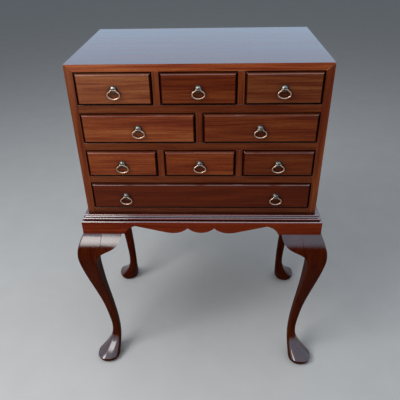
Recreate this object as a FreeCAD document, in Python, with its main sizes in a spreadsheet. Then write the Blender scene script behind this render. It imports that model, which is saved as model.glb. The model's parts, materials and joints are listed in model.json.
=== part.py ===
import FreeCAD, Part
import math
import os
from collections import namedtuple

import Sketcher
from FreeCAD import Placement, Rotation, Vector

# Silver chest on a stand with cabriole legs.
# Millimetres. +Z is up, the drawers open towards -Y, and the origin is on the
# floor under the middle of the stand.

# Driving sizes: name, value, what it is
DRIVING_SIZES = [
    ("carcase_width", 560.0, "chest, outside, left to right"),
    ("carcase_depth", 352.0, "chest, outside, front to back"),
    ("side_thick", 18.0, "side boards"),
    ("top_thick", 16.0, "top board"),
    ("bottom_thick", 16.0, "bottom board"),
    ("back_thick", 6.0, "back panel, let into the boards round it"),
    ("back_rebate", 9.0, "how far the back panel is let in"),
    ("row_one_height", 72.0, "opening of the top row, three drawers"),
    ("row_two_height", 71.0, "opening of the second row, two drawers"),
    ("row_three_height", 67.0, "opening of the third row, three drawers"),
    ("row_four_height", 71.0, "opening of the bottom row, one drawer"),
    ("rail_thick", 18.0, "rails and runners between the rows"),
    ("rail_depth", 45.0, "front and back rails, front to back"),
    ("runner_width", 30.0, "runners under the drawer sides"),
    ("divider_thick", 15.0, "uprights between drawers of a row"),
    ("stop_length", 12.0, "blocks that stop the shut drawers, front to back"),
    ("stop_width", 40.0, "stop blocks, left to right"),
    ("stop_height", 16.0, "stop blocks, upwards"),
    ("front_gap", 1.5, "gap round a drawer front"),
    ("front_thick", 18.0, "drawer front"),
    ("front_proud", 4.5, "how far a shut front stands out of the chest"),
    ("front_bevel", 4.2, "bevel round the face of a front"),
    ("front_bevel_depth", 6.4, "bevel, front to back"),
    ("drawer_side_thick", 8.0, "drawer sides"),
    ("drawer_back_thick", 8.0, "drawer backs"),
    ("drawer_bottom_thick", 4.0, "drawer bottoms"),
    ("drawer_bottom_rise", 5.0, "drawer bottom above the edge that slides"),
    ("side_step", 6.0, "drawer sides below the top of the front"),
    ("slide_gap", 0.4, "drawer sides above the runners"),
    ("stop_gap", 0.4, "shut drawer to its stop"),
    ("side_inset", 0.6, "drawer sides inside the ends of the front"),
    ("stand_overhang", 17.3, "stand outside the chest, all round"),
    ("leg_height", 471.0, "floor to the top of the knees"),
    ("apron_height", 37.0, "apron boards above the knees"),
    ("apron_thick", 18.0, "apron boards"),
    ("apron_round", 3.0, "rounding of the apron's top edge"),
    ("arch_start", 105.3, "stand corner to the foot of the apron's arch"),
    ("arch_width", 24.0, "arch, foot to shoulder"),
    ("arch_rise", 22.5, "arch, above the knees"),
    ("arch_radius", 36.0, "arch, curve of its rising side"),
    ("crown_width", 9.5, "top of the arch"),
    ("crown_radius", 10.0, "curve of the top of the arch"),
    ("drop_height", 3.0, "lowest points of the scallop above the knees"),
    ("drop_lead", 24.4, "sloping edge's end to the lowest point"),
    ("drop_lead_rise", 3.3, "rise over that distance"),
    ("drop_lead_radius", 90.0, "curve over that distance"),
    ("side_lobe_reach", 68.0, "middle of the apron to the side lobe's low point"),
    ("notch_reach", 33.0, "middle of the apron to the notch beside it"),
    ("notch_rise", 14.5, "notch above the low points"),
    ("side_lobe_radius", 49.5, "curve of the side lobes"),
    ("middle_lobe_radius", 47.0, "curve of the middle lobe"),
    ("moulding_thick", 15.0, "moulded frame that carries the chest"),
    ("moulding_width", 43.0, "moulded frame, nose to inner edge"),
    ("moulding_nose", 13.2, "lower bead outside the chest"),
    ("lower_bead", 2.7, "radius of the lower bead"),
    ("lower_bead_rise", 2.2, "underside of the lower bead above the apron"),
    ("upper_bead", 2.0, "radius of the upper bead"),
    ("upper_bead_nose", 8.5, "upper bead outside the chest"),
    ("cove_radius", 3.6, "hollow between the beads"),
    ("leg_width", 46.0, "leg at the top, and its stock's width"),
    ("knee_height", 408.0, "height of the knee"),
    ("knee_reach", 20.0, "knee outside the stand's corner lines"),
    ("thigh_height", 380.0, "height where the inner face comes furthest out"),
    ("thigh_inset", 26.0, "inner face inside the corner lines there"),
    ("ankle_height", 98.0, "height of the ankle"),
    ("ankle_inset", 23.7, "ankle inside the corner lines"),
    ("ankle_width", 22.2, "leg at the ankle"),
    ("rim_height", 20.0, "height of the foot's rim"),
    ("foot_inset", 8.8, "middle of the foot inside the corner lines"),
    ("foot_radius", 32.5, "foot at the rim"),
    ("sole_radius", 21.0, "foot on the floor"),
    ("arris_radius", 3.0, "rounding of the leg's outer edge at the top"),
    ("inner_arris_radius", 1.0, "rounding of the leg's other edges at the top"),
    ("ankle_arris_radius", 6.5, "rounding of all its edges at the ankle"),
    ("bracket_reach", 96.3, "stand corner to the tip of a knee bracket"),
    ("bracket_drop", 71.0, "knee bracket, upwards"),
    ("bracket_thick", 20.0, "knee bracket, front to back"),
    ("glue_line", 0.1, "joint between a bracket and its leg"),
    ("corner_block_size", 70.0, "triangular blocks in the stand's corners"),
    ("corner_block_height", 24.0, "triangular blocks, upwards"),
    ("rosette_radius", 8.8, "rosette of a pull"),
    ("rosette_thick", 1.8, "rosette in its middle"),
    ("rosette_edge", 0.8, "rosette at its edge"),
    ("rosette_flat", 6.2, "radius of the rosette's flat middle"),
    ("collar_radius", 6.4, "collar of the post, on the rosette"),
    ("collar_slope", 1.4, "sloping front of the collar, front to back"),
    ("head_radius", 5.0, "head of the post"),
    ("head_length", 7.0, "head of the post, front to back"),
    ("head_slope", 2.2, "domed face of the head, front to back"),
    ("dome_radius", 6.8, "curve of the head's domed face"),
    ("post_reach", 10.6, "post in front of the drawer front"),
    ("pivot_reach", 5.4, "bail's pivot in front of the drawer front"),
    ("shank_radius", 2.0, "post's shank through the drawer front"),
    ("nut_radius", 5.0, "nut on the shank"),
    ("nut_thick", 3.5, "nut on the shank"),
    ("shank_spare", 2.0, "shank behind the nut"),
    ("shank_gap", 0.15, "shank in its holes"),
    ("wire_radius", 1.25, "wire of the bail"),
    ("wire_gap", 0.2, "wire in the hole of the head"),
    ("wire_hold", 2.4, "wire inside the head"),
    ("bail_neck", 2.0, "bail's first corner outside the head"),
    ("bail_shoulder", 6.6, "bail's shoulders to its middle"),
    ("bail_shoulder_drop", 4.0, "pivot to the shoulders"),
    ("bail_reach", 16.2, "bail's outer corners to its middle"),
    ("bail_reach_drop", 10.0, "pivot to the outer corners"),
    ("bail_base_reach", 11.5, "corners of the bail's base to its middle"),
    ("bail_drop", 20.6, "pivot to the bail's base"),
    ("neck_bend", 1.5, "bend of the wire beside the head"),
    ("shoulder_bend", 1.5, "bend of the wire at the shoulders"),
    ("outer_bend", 5.5, "bend of the wire at the outer corners"),
    ("base_bend", 6.5, "bend of the wire at the base"),
]

doc = FreeCAD.newDocument("silver_chest_on_stand")
sheet = doc.addObject("Spreadsheet::Sheet", "Sizes")
for row, (alias, value, meaning) in enumerate(DRIVING_SIZES, start=1):
    sheet.set(f"A{row}", str(value))
    sheet.setAlias(f"A{row}", alias)
    sheet.set(f"B{row}", meaning)
doc.recompute()


class Size:
    """A number together with the sheet expression that gives it."""

    def __init__(self, value, text=None):
        self.value = float(value)
        self.text = text or repr(float(value))

    def __add__(self, other):
        other = as_size(other)
        return Size(self.value + other.value, f"({self.text} + {other.text})")

    def __sub__(self, other):
        other = as_size(other)
        return Size(self.value - other.value, f"({self.text} - {other.text})")

    def __mul__(self, factor):
        return Size(self.value * factor, f"({self.text} * {float(factor)!r})")

    def __truediv__(self, divisor):
        return Size(self.value / divisor, f"({self.text} / {float(divisor)!r})")

    def __neg__(self):
        return self * -1

    __radd__ = __add__
    __rmul__ = __mul__


def as_size(number):
    return number if isinstance(number, Size) else Size(number)


aliases = [alias for alias, value, meaning in DRIVING_SIZES]
size = namedtuple("Sizes", aliases)(*[Size(sheet.get(alias), f"Sizes.{alias}") for alias in aliases])


def bind(thing, name, value):
    """Ties a property or a constraint to the sheet."""
    thing.setExpression(name, as_size(value).text)


def spread(low, high, share):
    """The size a share of the way from one size to another."""
    return low + (high - low) * share


# Sizes worked out from the driving ones
half_width = size.carcase_width / 2
half_depth = size.carcase_depth / 2
stand_half_width = half_width + size.stand_overhang
stand_half_depth = half_depth + size.stand_overhang
apron_top = size.leg_height + size.apron_height
chest_bottom = apron_top + size.moulding_thick
inner_half_width = half_width - size.side_thick
back_face = half_depth - size.back_thick
front_face = -half_depth
drawer_face = front_face - size.front_proud
front_rear = drawer_face + size.front_thick
drawer_end = back_face - size.stop_length - size.stop_gap

row_heights = [size.row_one_height, size.row_two_height, size.row_three_height, size.row_four_height]
row_counts = [3, 2, 3, 1]
row_words = ["one", "two", "three", "four"]
row_bottoms = []
level = chest_bottom + size.bottom_thick
for height in reversed(row_heights):
    row_bottoms.insert(0, level)
    level = level + height + size.rail_thick
chest_top = level - size.rail_thick + size.top_thick


def board(name, x, y, z):
    """A rectangular board between a low and a high limit along each axis."""
    box = doc.addObject("Part::Box", name)
    for length, axis, (low, high) in (("Length", "x", x), ("Width", "y", y), ("Height", "z", z)):
        bind(box, length, as_size(high) - low)
        bind(box, f"Placement.Base.{axis}", low)
    return box


def group(name, pieces):
    """Several separate solids that make one node."""
    compound = doc.addObject("Part::Compound", name)
    compound.Links = pieces
    return compound


def origin_plane(body, role):
    return next(plane for plane in body.Origin.OriginFeatures if plane.Role == role)


def body_sketch(body, role, name, offset=0.0):
    """A sketch on one of a body's own planes, moved along that plane's normal."""
    sketch = body.newObject("Sketcher::SketchObject", name)
    sketch.AttachmentSupport = (origin_plane(body, role), "")
    sketch.MapMode = "FlatFace"
    sketch.AttachmentOffset = Placement(Vector(0, 0, as_size(offset).value), Rotation())
    bind(sketch, "AttachmentOffset.Base.z", offset)
    return sketch


def arc_between(start, end, radius):
    """The short arc between two points, turning left with a positive radius."""
    chord = end - start
    reach = math.sqrt(radius ** 2 - (chord.Length / 2) ** 2)
    across = Vector(-chord.y, chord.x, 0).normalize()
    turn = math.copysign(1, radius)
    centre = (start + end) / 2 + across * reach * turn
    first, last = (start, end) if turn > 0 else (end, start)
    angles = [math.atan2(point.y - centre.y, point.x - centre.x) for point in (first, last)]
    return Part.ArcOfCircle(Part.Circle(centre, Vector(0, 0, 1), abs(radius)), *angles)


def draw(sketch, corners):
    """Draws a closed outline whose corners are tied to the sheet.

    A corner is (x, y), or (x, y, bend), where bend shapes the edge that leads to it:
    a size is the radius of an arc, turning left when positive, and a list of (x, y)
    holds the points that a curve passes through on the way.
    """
    count = len(corners)
    spots = [Vector(as_size(corner[0]).value, as_size(corner[1]).value, 0) for corner in corners]
    starts = []
    ends = []
    for index in range(count):
        start = spots[index - 1]
        end = spots[index]
        bend = corners[index][2] if len(corners[index]) > 2 else None
        starts.append(1)
        ends.append(2)
        if bend is None:
            sketch.addGeometry(Part.LineSegment(start, end), False)
        elif isinstance(bend, list):
            curve = Part.BSplineCurve()
            curve.interpolate([start] + [Vector(x, y, 0) for x, y in bend] + [end])
            sketch.addGeometry(curve, False)
        else:
            sketch.addGeometry(arc_between(start, end, bend.value), False)
            if bend.value < 0:
                starts[-1], ends[-1] = 2, 1
    for index in range(count):
        follower = (index + 1) % count
        joined = Sketcher.Constraint("Coincident", index, ends[index], follower, starts[follower])
        sketch.addConstraint(joined)
        for kind, spot, wanted in (("DistanceX", spots[index].x, corners[index][0]),
                                   ("DistanceY", spots[index].y, corners[index][1])):
            number = sketch.addConstraint(Sketcher.Constraint(kind, -1, 1, index, ends[index], spot))
            bind(sketch, f"Constraints[{number}]", wanted)
        bend = corners[index][2] if len(corners[index]) > 2 else None
        if isinstance(bend, Size):
            number = sketch.addConstraint(Sketcher.Constraint("Radius", index, abs(bend.value)))
            bind(sketch, f"Constraints[{number}]", bend if bend.value > 0 else -bend)


def rectangle(x, y):
    return [(x[0], y[0]), (x[1], y[0]), (x[1], y[1]), (x[0], y[1])]


def pad(body, sketch, name, length):
    feature = body.newObject("PartDesign::Pad", name)
    feature.Profile = sketch
    bind(feature, "Length", length)
    return feature


def cut_through(body, sketch, name):
    """Cuts from the sketch through the whole body, against the sketch's normal."""
    doc.recompute()
    before = body.Shape.Volume
    pocket = body.newObject("PartDesign::Pocket", name)
    pocket.Profile = sketch
    pocket.Type = "ThroughAll"
    doc.recompute()
    if body.Shape.Volume >= before:
        raise RuntimeError(f"{name} cuts nothing")
    return pocket


# The four sides of the stand: name, turn about Z, half length, distance from the middle
Side = namedtuple("Side", "name turn half reach")
SIDES = [
    Side("front", 0, stand_half_width, stand_half_depth),
    Side("right", 90, stand_half_depth, stand_half_width),
    Side("back", 180, stand_half_width, stand_half_depth),
    Side("left", 270, stand_half_depth, stand_half_width),
]


def turned(side):
    return Placement(Vector(), Rotation(Vector(0, 0, 1), side.turn))


# How far a cut runs past the wood
OVERCUT = 1.0


# Carcase

def carcase_side(name, hand):
    """A side board, mitred into the top and rebated for the back panel."""
    body = doc.addObject("PartDesign::Body", name)
    outer = half_width * hand
    inner = inner_half_width * hand
    sketch = body_sketch(body, "XZ_Plane", f"{name}_outline", -half_depth)
    draw(sketch, [(outer, chest_bottom), (inner, chest_bottom), (inner, chest_top - size.top_thick),
                  (outer, chest_top)])
    pad(body, sketch, f"{name}_board", size.carcase_depth)
    rebate = body_sketch(body, "XY_Plane", f"{name}_rebate_outline", chest_top)
    let_in = inner + size.back_rebate * hand
    draw(rebate, rectangle((inner - OVERCUT * hand, let_in), (back_face, half_depth + OVERCUT)))
    cut_through(body, rebate, f"{name}_rebate")
    return body


def carcase_top():
    """The top board, mitred at both ends and rebated for the back panel."""
    body = doc.addObject("PartDesign::Body", "carcase_top")
    underside = chest_top - size.top_thick
    sketch = body_sketch(body, "XZ_Plane", "carcase_top_outline", -half_depth)
    draw(sketch, [(-half_width, chest_top), (-inner_half_width, underside), (inner_half_width, underside),
                  (half_width, chest_top)])
    pad(body, sketch, "carcase_top_board", size.carcase_depth)
    rebate = body_sketch(body, "YZ_Plane", "carcase_top_rebate_outline", half_width)
    let_in = underside + size.back_rebate
    draw(rebate, rectangle((back_face, half_depth + OVERCUT), (underside - OVERCUT, let_in)))
    cut_through(body, rebate, "carcase_top_rebate")
    return body


def carcase_bottom():
    return board("carcase_bottom", (-inner_half_width, inner_half_width), (front_face, back_face),
                 (chest_bottom, chest_bottom + size.bottom_thick))


def carcase_back():
    reach = inner_half_width + size.back_rebate
    return board("carcase_back", (-reach, reach), (back_face, half_depth),
                 (chest_bottom, chest_top - size.top_thick + size.back_rebate))


def opening_edges(row):
    """The left and right limits of each drawer opening of a row."""
    count = row_counts[row]
    width = (inner_half_width * 2 - size.divider_thick * (count - 1)) / count
    lefts = [-inner_half_width + (width + size.divider_thick) * column for column in range(count)]
    return [(left, left + width) for left in lefts]


def divider_edges(row):
    edges = opening_edges(row)
    return [(edges[i][1], edges[i + 1][0]) for i in range(len(edges) - 1)]


def rail(row, name):
    """The front rail under a row of drawers."""
    top = row_bottoms[row]
    return board(name, (-inner_half_width, inner_half_width), (front_face, front_face + size.rail_depth),
                 (top - size.rail_thick, top))


def runners():
    """Runners and back rails that carry the drawers behind the front rails."""
    pieces = []
    runner_start = front_face + size.rail_depth
    runner_end = back_face - size.rail_depth
    for row in range(3):
        height = (row_bottoms[row] - size.rail_thick, row_bottoms[row])
        word = row_words[row]
        pieces.append(board(f"back_rail_{word}", (-inner_half_width, inner_half_width),
                            (runner_end, back_face), height))
        spans = [(-inner_half_width, -inner_half_width + size.runner_width),
                 (inner_half_width - size.runner_width, inner_half_width)]
        for left, right in divider_edges(row):
            middle = (left + right) / 2
            spans.append((middle - size.runner_width / 2, middle + size.runner_width / 2))
        for number, span in enumerate(spans, start=1):
            pieces.append(board(f"runner_{word}_{number}", span, (runner_start, runner_end), height))
    return group("drawer_runners", pieces)


def dividers():
    """Uprights between the drawers of a row, which guide them."""
    pieces = []
    for row in range(3):
        for number, span in enumerate(divider_edges(row), start=1):
            pieces.append(board(f"divider_{row_words[row]}_{number}", span, (front_face, back_face),
                                (row_bottoms[row], row_bottoms[row] + row_heights[row])))
    return group("drawer_dividers", pieces)


def stops():
    """Blocks in front of the back panel that stop the shut drawers."""
    pieces = []
    for row in range(4):
        for number, (left, right) in enumerate(opening_edges(row), start=1):
            middle = (left + right) / 2
            pieces.append(board(f"stop_{row_words[row]}_{number}",
                                (middle - size.stop_width / 2, middle + size.stop_width / 2),
                                (back_face - size.stop_length, back_face),
                                (row_bottoms[row], row_bottoms[row] + size.stop_height)))
    return group("drawer_stops", pieces)


# Drawers and their pulls

Drawer = namedtuple("Drawer", "name left right low high pulls")


def drawer_list():
    """Every drawer with the limits of its opening and the places of its pulls."""
    columns = {3: ["left", "middle", "right"], 2: ["left", "right"], 1: [None]}
    # The wide bottom drawer has its pulls under those of the outer drawers above it
    above = opening_edges(2)
    outer_pulls = [(left + right) / 2 for left, right in (above[0], above[-1])]
    drawers = []
    for row in range(4):
        edges = opening_edges(row)
        for column, (left, right) in zip(columns[len(edges)], edges):
            name = row_words[row] + (f"_{column}" if column else "")
            pulls = [(left + right) / 2] if column else outer_pulls
            low = row_bottoms[row]
            drawers.append(Drawer(name, left, right, low, low + row_heights[row], pulls))
    return drawers


def pull_height(drawer):
    return (drawer.low + drawer.high) / 2


def drawer_front(drawer):
    """A front with a bevelled face, bored for its pulls."""
    name = f"front_{drawer.name}"
    body = doc.addObject("PartDesign::Body", name)
    sketch = body_sketch(body, "XZ_Plane", f"{name}_outline", -front_rear)
    draw(sketch, rectangle((drawer.left + size.front_gap, drawer.right - size.front_gap),
                           (drawer.low + size.front_gap, drawer.high - size.front_gap)))
    slab = pad(body, sketch, f"{name}_board", size.front_thick)
    doc.recompute()
    edges = []
    for number, edge in enumerate(slab.Shape.Edges, start=1):
        if edge.BoundBox.YMax < drawer_face.value + 0.01:
            edges.append(f"Edge{number}")
    bevel = body.newObject("PartDesign::Chamfer", f"{name}_bevel")
    bevel.Base = (slab, edges)
    bevel.ChamferType = "Two distances"
    bind(bevel, "Size", size.front_bevel_depth)
    bind(bevel, "Size2", size.front_bevel)
    bores = body_sketch(body, "XZ_Plane", f"{name}_bore_outline", -drawer_face)
    for number, x in enumerate(drawer.pulls):
        radius = size.shank_radius + size.shank_gap
        centre = Vector(x.value, pull_height(drawer).value, 0)
        bores.addGeometry(Part.Circle(centre, Vector(0, 0, 1), radius.value), False)
        for constraint, wanted in (
                (Sketcher.Constraint("DistanceX", -1, 1, number, 3, centre.x), x),
                (Sketcher.Constraint("DistanceY", -1, 1, number, 3, centre.y), pull_height(drawer)),
                (Sketcher.Constraint("Radius", number, radius.value), radius)):
            bind(bores, f"Constraints[{bores.addConstraint(constraint)}]", wanted)
    cut_through(body, bores, f"{name}_bores")
    return body


def drawer_box(drawer):
    """Two sides, a back and a bottom behind the front."""
    left = drawer.left + size.front_gap + size.side_inset
    right = drawer.right - size.front_gap - size.side_inset
    low = drawer.low + size.slide_gap
    high = drawer.high - size.front_gap - size.side_step
    inner = (left + size.drawer_side_thick, right - size.drawer_side_thick)
    back_start = drawer_end - size.drawer_back_thick
    floor = low + size.drawer_bottom_rise
    name = drawer.name
    return group(f"box_{name}", [
        board(f"left_side_{name}", (left, inner[0]), (front_rear, drawer_end), (low, high)),
        board(f"right_side_{name}", (inner[1], right), (front_rear, drawer_end), (low, high)),
        board(f"back_{name}", inner, (back_start, drawer_end), (floor, high)),
        board(f"bottom_{name}", inner, (front_rear, back_start), (floor, floor + size.drawer_bottom_thick)),
    ])


def turned_piece(name, profile):
    """A solid of revolution about the -Y axis; the profile is (radius, reach) from the face."""
    sketch = doc.addObject("Sketcher::SketchObject", f"{name}_profile")
    sketch.Placement = Placement(Vector(), Rotation(Vector(0, 0, 1), -90))
    draw(sketch, [(reach, radius) + tuple(bend) for radius, reach, *bend in profile])
    spin = doc.addObject("Part::Revolution", name)
    spin.Source = sketch
    spin.Axis = Vector(0, -1, 0)
    spin.Base = Vector()
    spin.Angle = 360
    spin.Solid = True
    return spin


def pull_fixed(name, x, z):
    """Rosette, post and nut of one pull, on the face of its drawer front."""
    shank = size.shank_radius
    bore = shank + size.shank_gap
    rosette = turned_piece(f"rosette_{name}", [
        (bore, 0.0), (size.rosette_radius, 0.0), (size.rosette_radius, size.rosette_edge),
        (size.rosette_flat, size.rosette_thick), (bore, size.rosette_thick)])
    head_start = size.post_reach - size.head_length
    shank_end = -(size.front_thick + size.nut_thick + size.shank_spare)
    post = turned_piece(f"post_{name}", [
        (0.0, shank_end), (shank, shank_end),
        (shank, size.rosette_thick), (size.collar_radius, size.rosette_thick),
        (size.collar_radius, head_start - size.collar_slope), (size.head_radius, head_start),
        (size.head_radius, size.post_reach - size.head_slope), (0.0, size.post_reach, -size.dome_radius)])
    hole = doc.addObject("Part::Cylinder", f"bail_hole_{name}")
    bind(hole, "Radius", size.wire_radius + size.wire_gap)
    bind(hole, "Height", size.head_radius * 4)
    hole.Placement = Placement(Vector(), Rotation(Vector(0, 1, 0), 90))
    bind(hole, "Placement.Base.x", -(size.head_radius * 2))
    bind(hole, "Placement.Base.y", -size.pivot_reach)
    bored = doc.addObject("Part::Cut", f"bored_post_{name}")
    bored.Base = post
    bored.Tool = hole
    nut = turned_piece(f"nut_{name}", [
        (bore, -size.front_thick), (bore, -(size.front_thick + size.nut_thick)),
        (size.nut_radius, -(size.front_thick + size.nut_thick)), (size.nut_radius, -size.front_thick)])
    pull = group(f"pull_parts_{name}", [rosette, bored, nut])
    bind(pull, "Placement.Base.x", x)
    bind(pull, "Placement.Base.y", drawer_face)
    bind(pull, "Placement.Base.z", z)
    return pull


def rounded_path(corners, radii):
    """A wire of straight runs joined by tangent arcs at its inner corners."""
    edges = []
    here = corners[0]
    for corner, after, radius in zip(corners[1:-1], corners[2:], radii):
        into = (corner - here).normalize()
        out = (after - corner).normalize()
        half_turn = into.getAngle(out) / 2
        leave = corner - into * radius * math.tan(half_turn)
        arrive = corner + out * radius * math.tan(half_turn)
        centre_way = (out - into).normalize()
        middle = corner + centre_way * radius * (1 / math.cos(half_turn) - 1)
        edges.append(Part.LineSegment(here, leave).toShape())
        edges.append(Part.Arc(leave, middle, arrive).toShape())
        here = arrive
    edges.append(Part.LineSegment(here, corners[-1]).toShape())
    return Part.Wire(edges)


def bail(name, x, z):
    """A drop bail of round wire, whose two ends turn in the head of the post."""
    right = [(size.head_radius - size.wire_hold, Size(0)), (size.head_radius + size.bail_neck, Size(0)),
             (size.bail_shoulder, -size.bail_shoulder_drop), (size.bail_reach, -size.bail_reach_drop),
             (size.bail_base_reach, -size.bail_drop)]
    bends = [size.neck_bend.value, size.shoulder_bend.value, size.outer_bend.value, size.base_bend.value]
    corners = [Vector(u.value, 0, v.value) for u, v in right]
    corners += [Vector(-corner.x, 0, corner.z) for corner in reversed(corners)]
    path = rounded_path(corners, bends + bends[::-1])
    circle = Part.Circle(corners[0], Vector(1, 0, 0), size.wire_radius.value)
    wire = path.makePipeShell([Part.Wire(circle.toShape())], True, False)
    feature = doc.addObject("Part::Feature", f"bail_{name}")
    feature.Shape = wire
    bind(feature, "Placement.Base.x", x)
    bind(feature, "Placement.Base.y", drawer_face - size.pivot_reach)
    bind(feature, "Placement.Base.z", z)
    return feature


# Stand

def apron_edge(side):
    """The lower edge of an apron, from its middle to its right end."""
    foot = size.leg_height
    drop = foot + size.drop_height
    if side.name == "back":
        return [(side.half, foot)]
    edge = []
    lowest = 0.0
    if side.name == "front":
        lowest = size.side_lobe_reach
        edge.append((size.notch_reach, drop + size.notch_rise, size.middle_lobe_radius))
        edge.append((size.side_lobe_reach, drop, size.side_lobe_radius))
    shoulder = side.half - size.arch_start - size.arch_width
    edge.append((lowest + size.drop_lead, drop + size.drop_lead_rise, size.drop_lead_radius))
    edge.append((shoulder - size.crown_width, foot + size.arch_rise))
    edge.append((shoulder, foot + size.arch_rise, -size.crown_radius))
    edge.append((shoulder + size.arch_width, foot, -size.arch_radius))
    edge.append((side.half, foot))
    return edge


def mirrored_edge(edge):
    """The same lower edge on the left, from its left end to the middle."""
    bends = [corner[2] if len(corner) > 2 else None for corner in edge]
    left = []
    for index in range(len(edge) - 1, -1, -1):
        x, z = edge[index][:2]
        bend = bends[index + 1] if index + 1 < len(edge) else None
        left.append((-x, z, bend) if bend else (-x, z))
    return left


def mitre(body, width, half, reach, top):
    """Cuts both ends of a length of the stand at 45 degrees."""
    for hand, word in ((1, "right"), (-1, "left")):
        sketch = body_sketch(body, "XY_Plane", f"{body.Name}_{word}_mitre_outline", top)
        draw(sketch, [((half + OVERCUT) * hand, -(reach + OVERCUT)),
                      ((half + OVERCUT) * hand, -(reach - width - OVERCUT)),
                      ((half - width - OVERCUT) * hand, -(reach - width - OVERCUT))])
        cut_through(body, sketch, f"{body.Name}_{word}_mitre")


def apron(side):
    """An apron board with its shaped lower edge and rounded top edge."""
    name = f"apron_{side.name}"
    body = doc.addObject("PartDesign::Body", name)
    edge = apron_edge(side)
    outline = mirrored_edge(edge)
    if side.name in ("left", "right"):
        # The side aprons have one drop, whose lowest point is in the middle
        outline.append((0.0, size.leg_height + size.drop_height, size.drop_lead_radius))
    outline += edge + [(side.half, apron_top), (-side.half, apron_top)]
    sketch = body_sketch(body, "XZ_Plane", f"{name}_outline", side.reach - size.apron_thick)
    draw(sketch, outline)
    slab = pad(body, sketch, f"{name}_board", size.apron_thick)
    doc.recompute()
    edges = []
    for number, edge_line in enumerate(slab.Shape.Edges, start=1):
        box = edge_line.BoundBox
        if box.ZMin > apron_top.value - 0.01 and box.YMax < -side.reach.value + 0.01:
            edges.append(f"Edge{number}")
    rounding = body.newObject("PartDesign::Fillet", f"{name}_rounding")
    rounding.Base = (slab, edges)
    bind(rounding, "Radius", size.apron_round)
    mitre(body, size.apron_thick, side.half, side.reach, apron_top)
    body.Placement = turned(side)
    return body


def moulding(side):
    """One mitred length of the moulded frame that the chest stands on."""
    name = f"moulding_{side.name}"
    body = doc.addObject("PartDesign::Body", name)
    chest = side.reach - size.stand_overhang
    nose = chest + size.moulding_nose
    half = side.half - size.stand_overhang + size.moulding_nose
    inner = nose - size.moulding_width
    bead_low = apron_top + size.lower_bead_rise
    bead_high = bead_low + size.lower_bead * 2
    bead_root = nose - size.lower_bead
    upper_root = chest + size.upper_bead_nose - size.upper_bead
    sketch = body_sketch(body, "YZ_Plane", f"{name}_profile", -half)
    draw(sketch, [
        (-inner, apron_top), (-inner, chest_bottom), (-upper_root, chest_bottom),
        (-(upper_root + size.upper_bead), chest_bottom - size.upper_bead, size.upper_bead),
        (-upper_root, chest_bottom - size.upper_bead * 2, size.upper_bead),
        (-bead_root, bead_high, -size.cove_radius),
        (-nose, bead_high - size.lower_bead, size.lower_bead),
        (-bead_root, bead_low, size.lower_bead),
        (-bead_root, apron_top)])
    pad(body, sketch, f"{name}_length", half * 2)
    mitre(body, size.moulding_width, half, nose, chest_bottom)
    body.Placement = turned(side)
    return body


def ease(share):
    """A smooth step from 0 to 1."""
    return share * share * (3 - 2 * share)


# The shin leaves the knee sooner than it nears the ankle
SHIN_LEAD = 0.8
# The leg is straight at the ankle and flares to the foot ever faster
FOOT_FLARE = 2.0
# Corner radii as shares of half the section, at the foot's rim and at the sole:
# the outer corner, the two beside it and the inner one
RIM_ROUNDING = (0.72, 0.92, 0.96)
SOLE_ROUNDING = (0.78, 0.92, 0.96)


def outer_line(height):
    """How far the leg's outer faces stand outside the corner lines at a height."""
    knee = size.knee_height.value
    ankle = size.ankle_height.value
    reach = size.knee_reach.value
    inset = -size.ankle_inset.value
    toe = size.foot_radius.value - size.foot_inset.value
    if height >= knee:
        share = (height - knee) / (size.leg_height.value - knee)
        return reach * (1 - share ** 2)
    if height >= ankle:
        share = ((knee - height) / (knee - ankle)) ** SHIN_LEAD
        return reach + (inset - reach) * ease(share)
    share = (ankle - height) / (ankle - size.rim_height.value)
    return inset + (toe - inset) * share ** FOOT_FLARE


def inner_line(height):
    """The same for the leg's inner faces; negative is inside the corner lines."""
    thigh = size.thigh_height.value
    ankle = size.ankle_height.value
    thigh_line = -size.thigh_inset.value
    ankle_line = -(size.ankle_inset + size.ankle_width).value
    heel_line = -(size.foot_inset + size.foot_radius).value
    if height >= thigh:
        share = (size.leg_height.value - height) / (size.leg_height.value - thigh)
        return -size.leg_width.value + (thigh_line + size.leg_width.value) * ease(share)
    if height >= ankle:
        share = (thigh - height) / (thigh - ankle)
        return thigh_line + (ankle_line - thigh_line) * ease(share)
    share = (ankle - height) / (ankle - size.rim_height.value)
    return ankle_line + (heel_line - ankle_line) * share ** FOOT_FLARE


def leg_section(body, name, height, outer, inner, radii):
    """A square section with rounded corners, seen from above, its outer corner at -X -Y.

    The radii are those of the outer, the two side and the inner corner.
    """
    sketch = body_sketch(body, "XY_Plane", name, height)
    low, high = -outer, -inner
    corner_radii = [radii[0], radii[1], radii[2], radii[1]]
    spots = [(low, low), (high, low), (high, high), (low, high)]
    signs = [(1, 1), (-1, 1), (-1, -1), (1, -1)]
    points = []
    for (x, y), (sign_x, sign_y), radius, quarter in zip(spots, signs, corner_radii, range(4)):
        along_x = Vector(x + sign_x * radius, y, 0)
        along_y = Vector(x, y + sign_y * radius, 0)
        points.append((along_y, along_x) if quarter % 2 == 0 else (along_x, along_y))
    for index, (first, second) in enumerate(points):
        radius = corner_radii[index]
        centre = Vector(*spots[index], 0) + Vector(*signs[index], 0) * radius
        start_angle = math.pi * (1 + index / 2)
        circle = Part.Circle(centre, Vector(0, 0, 1), radius)
        sketch.addGeometry(Part.ArcOfCircle(circle, start_angle, start_angle + math.pi / 2), False)
        sketch.addGeometry(Part.LineSegment(second, points[(index + 1) % 4][0]), False)
    for index in range(8):
        sketch.addConstraint(Sketcher.Constraint("Coincident", index, 2, (index + 1) % 8, 1))
    return sketch


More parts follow.
